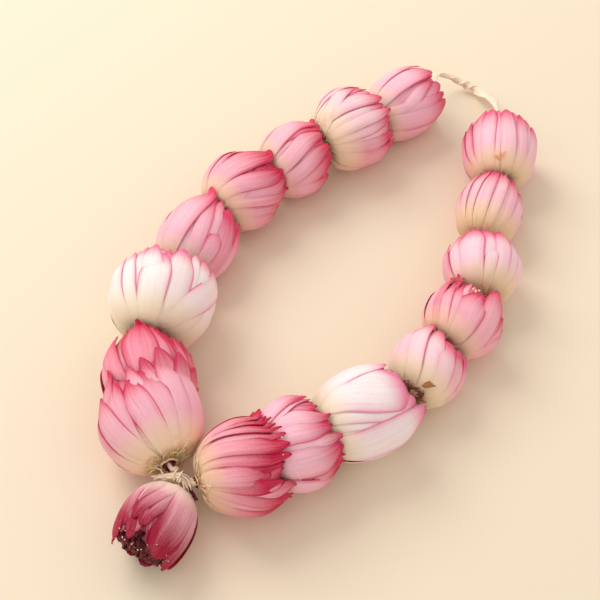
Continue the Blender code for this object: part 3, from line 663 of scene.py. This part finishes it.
def add_core(sheaf, bud, following):
    """What the petals grow on, out of sight but for the dark between them, and the cut stalk."""
    end = bud.length * 0.7
    if following is not None:
        end = (following.base - bud.base) @ bud.axis - 1
    outer = []
    for share in (0.06, 0.12, 0.25, 0.45, 0.6, 0.75, 0.9, 1.0):
        along = end * share
        depth = CORE_DEPTH * (0.6 + 0.4 * smooth(0, 0.25, share)) + bud.radius * smooth(0.55, 1, share)
        outer.append((along, max(BORE_RADIUS + 0.6, float(bud.swell(along)) - depth)))
    inside = [(bud.colours[0] + bud.colours[1]) / 2] * 3
    add_lathe(sheaf, bud, [(end * 0.06, BORE_RADIUS), *outer, (end, BORE_RADIUS)], inside, 0.7)
    stalk = [(2.0, STALK_RADIUS), (-0.2, STALK_RADIUS), (-0.8, STALK_RADIUS - 0.5)]
    stalk += [(-0.7, BORE_RADIUS), (2.0, BORE_RADIUS)]
    add_lathe(sheaf, bud, stalk, [tint(*STALK_COLOUR)] * 3, 0.5)
    edge = bud.radius * STUB + 0.3
    inner = STALK_RADIUS + 0.1
    collar = [(3.0, edge), (0.2, edge), (-0.5, edge - 0.8), (-0.9, inner + 0.8), (-0.8, inner), (3.0, inner)]
    add_lathe(sheaf, bud, collar, [bud.colours[2] * COLLAR_SHADE] * 3, 0.0)


def route_steps(route):
    return np.concatenate([[0], np.cumsum(np.linalg.norm(np.diff(route, axis=0), axis=1))])


def smooth_route(points, step):
    """Points about a step apart on a smooth curve through the given ones, which it keeps."""
    points = [np.array(point, float) for point in points]
    padded = [2 * points[0] - points[1], *points, 2 * points[-1] - points[-2]]
    route = []
    for a, b, c, d in zip(padded, padded[1:], padded[2:], padded[3:]):
        count = max(1, round(np.linalg.norm(c - b) / step))
        for i in range(count):
            t = i / count
            turned = (c - a) * t + (2 * a - 5 * b + 4 * c - d) * t ** 2 + (3 * b - a - 3 * c + d) * t ** 3
            route.append(b + turned * 0.5)
    return np.array(route + [points[-1]])


def add_strand(sheaf, route, widths, flatness, turns, colours, sides=14, deep=0.0):
    """A strand with grooves along a route. Turns says how far its flat side has turned at each point."""
    ahead = np.gradient(route, axis=0)
    ahead /= np.linalg.norm(ahead, axis=1)[:, None]
    across = np.cross(ahead, UP)
    across /= np.maximum(np.linalg.norm(across, axis=1), 1e-6)[:, None]
    upward = np.cross(across, ahead)
    steps = route_steps(route)
    angles = np.linspace(0, 2 * math.pi, sides, endpoint=False)
    groove = 1 + 0.28 * np.cos(4 * angles)
    rows = []
    for i, centre in enumerate(route):
        flat = widths[i] / 2 * np.cos(angles)
        thick = widths[i] * flatness[i] / 2 * np.sin(angles) * groove
        x = flat * math.cos(turns[i]) - thick * math.sin(turns[i])
        y = flat * math.sin(turns[i]) + thick * math.cos(turns[i])
        rows.append(centre + np.outer(x, across[i]) + np.outer(y, upward[i]))
    points = np.concatenate(rows)
    index = np.arange(len(points)).reshape(len(route), sides)
    right = np.roll(index, -1, axis=1)
    quads = np.stack([index[:-1], right[:-1], right[1:], index[1:]], axis=-1).reshape(-1, 4)
    caps = []
    for ring, turned in ((index[0], True), (index[-1], False)):
        for i in range(sides // 2 - 1):
            cap = [ring[i], ring[i + 1], ring[sides - 2 - i], ring[sides - 1 - i]]
            caps.append(cap[::-1] if turned else cap)
    points[:, 2] = np.maximum(points[:, 2], FLOOR_ROOM)
    places = np.stack([np.tile(angles / (2 * math.pi), len(route)), np.repeat(steps * 0.05, sides)], axis=1)
    sheaf.add(points, np.concatenate([quads, np.array(caps)]), places, colours, (0, deep, 0), (0, 1, 0.5))


def tapered(route, thickest, ends=0.3):
    """Widths along a route that is thickest in its middle and thin at its ends."""
    share = np.linspace(0, 1, len(route))
    return thickest * (ends + (1 - ends) * np.sin(math.pi * share) ** 0.6)


def add_fibre(sheaf, points, thickest, colours, draw, step=1.5, ends=0.3):
    """One loose fibre through the given points, thin at its ends."""
    route = smooth_route(points, step)
    widths = tapered(route, thickest, ends)
    turns = np.linspace(0, draw.uniform(1, 5), len(route))
    add_strand(sheaf, route, widths, np.full(len(route), 0.6), turns, colours, 8)


def add_husk(sheaf, bud, draw, count, shortest, longest, thickest, colours, start, stop):
    """Dry torn fibres that lie over the base of a bud, each of its own length and curl."""
    tints = [tint(*colour) for colour in colours]
    share = np.linspace(0, 1, 5)
    for _ in range(count):
        first = draw.uniform(-0.2, 0.6)
        along = first + draw.uniform(shortest, longest) * share
        sway = np.array([draw.uniform(-5, 5) for _ in share])
        degrees = draw.uniform(start, stop) + draw.uniform(-30, 30) * share ** 2 + sway * share
        lift = draw.uniform(-0.5, 0.8) + draw.uniform(-0.2, 0.8) * share ** 2
        points = bud.point(along, bud.swell(along) + lift, degrees)
        add_fibre(sheaf, points, thickest * draw.uniform(0.4, 1.0), tints, draw, 1.5, 0.4)


def add_shreds_and_shade(sheaf, bud, draw, count, longest):
    """Dark shreds round the thread where it leaves the base: partly the cut stalk's own, partly painted shade
    on it.
    """
    tints = [tint(*colour) for colour in MAROON]
    share = np.linspace(0, 1, 4)
    for _ in range(count):
        along = 0.5 - draw.uniform(0.5, 1) * longest * share
        radius = draw.uniform(1.9, 3.2) - draw.uniform(0, 0.9) * share
        degrees = draw.uniform(0, 360) + draw.uniform(-40, 40) * share
        add_fibre(sheaf, bud.point(along, radius, degrees), draw.uniform(0.7, 1.4), tints, draw, 1.0, 0.5)
    for sliver in SLIVERS.get(bud.name, ()):
        add_fibre(sheaf, sliver, 1.7, tints, draw, 1.0, 0.35)


def add_crumbs(sheaf, bud, draw, count, smallest, largest, low, high, start, stop):
    """Small broken bits on the petals, each an uneven block."""
    colours = [tint(*CRUMB_COLOUR)] * 3
    corners = np.array([(x, y, z) for x in (-1, 1) for y in (-1, 1) for z in (-1, 1)], float)
    sides = ((0, 1, 3, 2), (4, 6, 7, 5), (0, 4, 5, 1), (2, 3, 7, 6), (0, 2, 6, 4), (1, 5, 7, 3))
    for _ in range(count):
        along = draw.uniform(low, high)
        radius = bud.swell(np.array([along])) + CRUMB_LIFT
        middle = bud.point(np.array([along]), radius, draw.uniform(start, stop))[0]
        uneven = np.array([[draw.uniform(0.4, 1.1) for _ in range(3)] for _ in corners])
        points = middle + corners * uneven * draw.uniform(smallest, largest)
        sheaf.add(points, sides, np.zeros((8, 2)), colours, (0, 0, 0))


def add_stamens(sheaf, bud, draw, count, along, degrees):
    """A few short orange threads lying on a bud."""
    colours = [tint(*STAMEN_COLOUR)] * 3
    for _ in range(count):
        steps = along + draw.uniform(-1, 1) + np.linspace(0, draw.uniform(1.5, 3.5), 4)
        turns = degrees + draw.uniform(-5, 5) + draw.uniform(-14, 14) * np.linspace(0, 1, 4)
        points = bud.point(steps, bud.swell(steps) + 1.1, turns)
        add_fibre(sheaf, points, 0.55, colours, draw, 1.0, 0.6)


def node_of(tree, kind, **inputs):
    """A shader node with its sockets set, or linked where the value is another node's output."""
    node = tree.nodes.new(kind)
    for name, value in inputs.items():
        place = node.inputs[name.replace("_", " ")]
        if isinstance(value, bpy.types.NodeSocket):
            tree.links.new(value, place)
        else:
            place.default_value = value
    return node


def maths(tree, operation, *values, clamp=False):
    node = tree.nodes.new("ShaderNodeMath")
    node.operation = operation
    node.use_clamp = clamp
    for place, value in zip(node.inputs, values):
        if isinstance(value, bpy.types.NodeSocket):
            tree.links.new(value, place)
        else:
            place.default_value = value
    return node.outputs[0]


def mixed(tree, factor, first, second):
    node = tree.nodes.new("ShaderNodeMix")
    node.data_type = "RGBA"
    for place, value in ((0, factor), (6, first), (7, second)):
        if isinstance(value, bpy.types.NodeSocket):
            tree.links.new(value, node.inputs[place])
        else:
            node.inputs[place].default_value = value
    return node.outputs[2]


def ranged(tree, value, low, high):
    """0 where the value is below low, 1 above high."""
    node = node_of(tree, "ShaderNodeMapRange", Value=value, From_Min=low, From_Max=high)
    node.interpolation_type = "SMOOTHSTEP"
    return node.outputs["Result"]


def attribute(tree, name):
    node = tree.nodes.new("ShaderNodeAttribute")
    node.attribute_name = name
    return node.outputs["Vector"]


def parts_of(tree, vector):
    return node_of(tree, "ShaderNodeSeparateXYZ", Vector=vector).outputs


def new_material(name, roughness):
    material = bpy.data.materials.new(name)
    material.use_nodes = True
    shader = material.node_tree.nodes["Principled BSDF"]
    shader.inputs["Roughness"].default_value = roughness
    return material, material.node_tree, shader


def stretched_noise(tree, across, along, seed, cells, detail):
    """Noise in long streaks along a petal, this many from edge to edge."""
    x = maths(tree, "MULTIPLY", across, cells / 2)
    vector = node_of(tree, "ShaderNodeCombineXYZ", X=x, Y=maths(tree, "MULTIPLY", along, 1.6), Z=seed)
    noise = node_of(tree, "ShaderNodeTexNoise", Vector=vector.outputs[0], Scale=1.0, Detail=detail)
    return noise.outputs["Fac"]


def centred(tree, value, amount):
    """The value about its middle, times an amount."""
    return maths(tree, "MULTIPLY", maths(tree, "SUBTRACT", value, 0.5), amount)


def petal_material():
    """Cream at the base, pale in the middle, deep at tips and rims, with streaks and veins lengthways. The
    deep amount comes with each point, and along petal edges it holds painted shade as well as the rim's own
    colour.
    """
    material, tree, shader = new_material("petal", 0.5)
    shader.inputs["Subsurface Weight"].default_value = 0.2
    shader.inputs["Subsurface Radius"].default_value = (1.0, 0.4, 0.3)
    shader.inputs["Subsurface Scale"].default_value = 0.002
    shader.inputs["Sheen Weight"].default_value = 0.04
    shader.inputs["Sheen Roughness"].default_value = 0.4
    shader.inputs["Specular IOR Level"].default_value = 0.22
    spread = tree.nodes.new("ShaderNodeUVMap")
    spread.uv_map = "petal"
    place = parts_of(tree, spread.outputs[0])
    across = maths(tree, "MULTIPLY_ADD", place["X"], 2.0, -1.0)
    along = place["Y"]
    cream, deep, frayed = (parts_of(tree, attribute(tree, "tone"))[axis] for axis in "XYZ")
    rim, vein, chance = (parts_of(tree, attribute(tree, "look"))[axis] for axis in "XYZ")
    seed = maths(tree, "MULTIPLY", chance, 40.0)
    streaks = stretched_noise(tree, across, along, seed, 13, 3.0)
    lines = stretched_noise(tree, across, along, seed, 40, 2.0)
    blotches = node_of(tree, "ShaderNodeTexNoise", Scale=75.0, Detail=3.0).outputs["Fac"]
    wander = maths(tree, "MULTIPLY", centred(tree, streaks, 1.2), vein)
    shade = maths(tree, "ADD", deep, wander)
    shade = maths(tree, "ADD", shade, centred(tree, blotches, 0.4), clamp=True)
    colour = mixed(tree, shade, attribute(tree, "pale"), attribute(tree, "deep"))
    edge = maths(tree, "ADD", maths(tree, "ABSOLUTE", across), centred(tree, lines, 0.08))
    rim_mask = maths(tree, "MULTIPLY", ranged(tree, edge, 0.86, 0.98), ranged(tree, along, 0.1, 0.35))
    rim_mask = maths(tree, "MULTIPLY", rim_mask, rim)
    colour = mixed(tree, rim_mask, colour, attribute(tree, "deep"))
    veins = maths(tree, "MULTIPLY", ranged(tree, lines, 0.55, 0.75), maths(tree, "MULTIPLY", vein, 0.5))
    colour = mixed(tree, veins, colour, attribute(tree, "deep"))
    colour = mixed(tree, maths(tree, "MULTIPLY", frayed, 0.45), colour, attribute(tree, "deep"))
    creamy = maths(tree, "ADD", cream, centred(tree, streaks, 0.5), clamp=True)
    creamy = maths(tree, "MULTIPLY", creamy, ranged(tree, cream, 0.0, 0.25))
    creamy = maths(tree, "SUBTRACT", creamy, maths(tree, "MULTIPLY", rim_mask, 0.5), clamp=True)
    colour = mixed(tree, creamy, colour, attribute(tree, "cream"))
    tree.links.new(colour, shader.inputs["Base Color"])
    height = maths(tree, "ADD", maths(tree, "MULTIPLY", lines, 0.6), streaks)
    bump = node_of(tree, "ShaderNodeBump", Strength=0.4, Distance=0.0004, Height=height)
    tree.links.new(bump.outputs[0], shader.inputs["Normal"])
    return material


def make_bloom(bud, following, neighbours, material, draw):
    sheaf = Sheaf()
    around = (following, neighbours)
    add_core(sheaf, bud, following)
    for petal in under_petals(bud, draw):
        add_petal(sheaf, bud, petal, around, draw, COARSE_GRID)
    for petal in between_petals(bud, draw):
        add_petal(sheaf, bud, petal, around, draw, REAR_GRID)
    for petal in rear_petals(bud, draw):
        add_petal(sheaf, bud, petal, around, draw, REAR_GRID)
    for petal in bud.petals:
        add_petal(sheaf, bud, petal, around, draw)
    add_heart(sheaf, bud, around, draw)
    extras = ((add_husk, HUSKS), (add_shreds_and_shade, SHREDS_AND_SHADE), (add_crumbs, CRUMBS), (add_stamens, STAMENS))
    for add, chosen in extras:
        if bud.name in chosen:
            add(sheaf, bud, draw, *chosen[bud.name])
    piece = sheaf.piece(bud.name + "_bloom", material)
    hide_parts(bud.name)


def thread_through(buds):
    """Route points at each bud's base and middle, in order, and straight out of the last bud's mouth."""
    points = []
    for bud in buds:
        points.append(bud.base)
        points.append(bud.base + bud.axis * bud.length * THREAD_SHARE)
    last = buds[-1]
    if last.name != "pendant":
        points.append(last.base + last.axis * last.length * OPEN_BORE)
        points.append(last.base + last.axis * last.length * OPEN_EXIT)
    return points


def at_controls(route, controls, values, otherwise):
    """Values along a route that match those given at the control points, and another well away from them."""
    steps = route_steps(route)
    marks = [steps[np.argmin(np.linalg.norm(route - np.array(point), axis=1))] for point in controls]
    first, last = marks[0] - 8, marks[-1] + 8
    return np.interp(steps, [first, *marks, last], [otherwise[0], *values, otherwise[1]])


def make_thread(left, right, material):
    """The flat twisted strand, and two thin fibres that lie along its bare stretch."""
    fibre = [tint(*colour) for colour in FIBRE_COLOURS]
    ends = [LOOP_START] + thread_through(left), thread_through(right)[::-1] + [LOOP_END]
    loop = smooth_route(ends[0] + list(FREE_THREAD) + ends[1], STRAND_STEP)
    widths = at_controls(loop, FREE_THREAD, FREE_WIDTHS, (HIDDEN_WIDTH, HIDDEN_WIDTH))
    flatness = at_controls(loop, FREE_THREAD, FREE_FLATNESS, (HIDDEN_FLATNESS, HIDDEN_FLATNESS))
    turns = np.radians(at_controls(loop, FREE_THREAD, FREE_TURNS, (FREE_TURNS[0], FREE_TURNS[-1])))
    sheaf = Sheaf()
    add_strand(sheaf, loop, widths, flatness, turns, fibre, 16)
    bare = smooth_route(FREE_THREAD, STRAND_STEP)
    for side, lift in ((-1, 1.3), (1, 1.0)):
        sway = side * (1.4 + 0.8 * np.sin(np.linspace(0, 7, len(bare))))
        beside = bare + np.outer(sway, (0.3, 1, 0)) + np.array((0, 0, lift)) * 0.5
        add_strand(sheaf, beside, tapered(beside, 0.6), np.full(len(bare), 0.7), sway, fibre, 8)
    thread = sheaf.piece("thread_strand", material)
    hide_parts("thread")


def make_pendant_thread(pendant, material):
    fibre = [tint(*colour) for colour in FIBRE_COLOURS]
    drop = smooth_route([DROP_START] + thread_through([pendant]), 2)
    sheaf = Sheaf()
    widths = np.full(len(drop), HIDDEN_WIDTH)
    flatness = np.full(len(drop), HIDDEN_FLATNESS)
    add_strand(sheaf, drop, widths, flatness, np.linspace(0, 6, len(drop)), fibre)
    short = sheaf.piece("pendant_strand", material)
    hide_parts("pendant_thread")


def make_knot(material, draw):
    """Strands of torn fibre bound together, with turns round the thick of the knot and loose ends."""
    fibre = [tint(*colour) for colour in FIBRE_COLOURS]
    centres = np.array([row[:3] for row in KNOT], float)
    radii = np.array([row[3] for row in KNOT])
    ahead = unit(centres[-1] - centres[0])
    across = unit(np.cross(ahead, UP))
    upward = np.cross(across, ahead)
    sheaf = Sheaf()
    for i in range(KNOT_STRANDS):
        phase = 2 * math.pi * i / KNOT_STRANDS
        turn = phase + np.linspace(0, 1.6, len(centres))
        out = radii * 0.6 * draw.uniform(0.85, 1.15)
        lane = centres + out[:, None] * (np.outer(np.cos(turn), across) + np.outer(np.sin(turn), upward))
        lane[0] += np.array([draw.uniform(-2, 1), draw.uniform(-2, 2), draw.uniform(-2.5, 1)])
        lane[-1] += np.array([draw.uniform(-0.5, 1), draw.uniform(-1, 1), draw.uniform(-1, 1)])
        add_fibre(sheaf, lane, draw.uniform(1.7, 2.4), fibre, draw, 1.0)
    for shift in KNOT_WRAPS:
        turn = np.linspace(0, 2 * math.pi * 1.15, 16)
        middle = centres[4] + ahead * shift
        ring = middle + 3.3 * (np.outer(np.cos(turn), across) + np.outer(np.sin(turn), upward) * 0.9)
        ring += np.outer(np.linspace(-0.7, 0.7, 16), ahead)
        add_fibre(sheaf, ring, 1.5, fibre, draw, 1.0, 0.7)
    for wisp in WISPS:
        add_fibre(sheaf, wisp, draw.uniform(0.7, 1.3), fibre, draw, 1.0)
    knot = sheaf.piece("knot_fibres", material)
    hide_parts("knot")


def make_floor():
    mesh = bpy.data.meshes.new("floor")
    half = 3.0
    square = [(-half, -half, 0), (half, -half, 0), (half, half, 0), (-half, half, 0)]
    mesh.from_pydata(square, [], [(0, 1, 2, 3)])
    floor = bpy.data.objects.new("floor", mesh)
    bpy.context.scene.collection.objects.link(floor)
    material, _, shader = new_material("floor", 0.9)
    shader.inputs["Base Color"].default_value = (*tint(*FLOOR_COLOUR), 1)
    mesh.materials.append(material)
    floor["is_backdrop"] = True


def make_lights():
    world = bpy.data.worlds.new("studio")
    bpy.context.scene.world = world
    world.use_nodes = True
    background = world.node_tree.nodes["Background"]
    background.inputs["Color"].default_value = SKY_COLOUR
    background.inputs["Strength"].default_value = SKY_STRENGTH
    for name, place, size, power, colour in LIGHTS:
        light = bpy.data.lights.new(name, "AREA")
        light.size = size
        light.energy = power
        light.color = colour
        lamp = bpy.data.objects.new(name, light)
        lamp.location = place
        lamp.rotation_euler = (-Vector(place)).to_track_quat("-Z", "Y").to_euler()
        bpy.context.scene.collection.objects.link(lamp)


def make_camera():
    camera = bpy.data.cameras.new("camera")
    camera.lens = LENS
    camera.sensor_width = SENSOR
    camera.clip_end = 10
    obj = bpy.data.objects.new("camera", camera)
    obj.location = (CAMERA_PLACE - CENTRE) * MM
    obj.rotation_euler = (math.radians(90 - CAMERA_DOWN), 0, math.radians(CAMERA_AZIMUTH))
    bpy.context.scene.collection.objects.link(obj)
    bpy.context.scene.camera = obj
    bpy.context.scene.view_settings.view_transform = "Standard"


def corners():
    return [list(map(float, corner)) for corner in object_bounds()]


def make_garland():
    draw = random.Random(SEED)
    arms = []
    for names, end in zip(ARMS, ARM_ENDS):
        starts = [BUDS[name][:2] for name in names]
        arms.append([Bud(name, to) for name, to in zip(names, starts[1:] + [end])])
    left, right = arms
    pendant = Bud("pendant", PENDANT_END)
    material = petal_material()
    make_thread(left, right, material)
    make_pendant_thread(pendant, material)
    make_knot(material, draw)
    for arm in arms:
        for bud, following in zip(arm, arm[1:] + [None]):
            neighbours = [left[0]] if bud is right[0] else []
            make_bloom(bud, following, neighbours, material, draw)
    make_bloom(pendant, None, [left[0], right[0]], material, draw)


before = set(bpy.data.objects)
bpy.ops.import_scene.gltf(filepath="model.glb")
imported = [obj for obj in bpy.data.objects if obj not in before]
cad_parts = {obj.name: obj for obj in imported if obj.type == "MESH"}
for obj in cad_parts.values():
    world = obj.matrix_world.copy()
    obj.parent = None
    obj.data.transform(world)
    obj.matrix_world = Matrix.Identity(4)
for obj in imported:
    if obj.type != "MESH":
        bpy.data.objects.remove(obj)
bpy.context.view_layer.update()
make_camera()
make_lights()
make_floor()
make_garland()
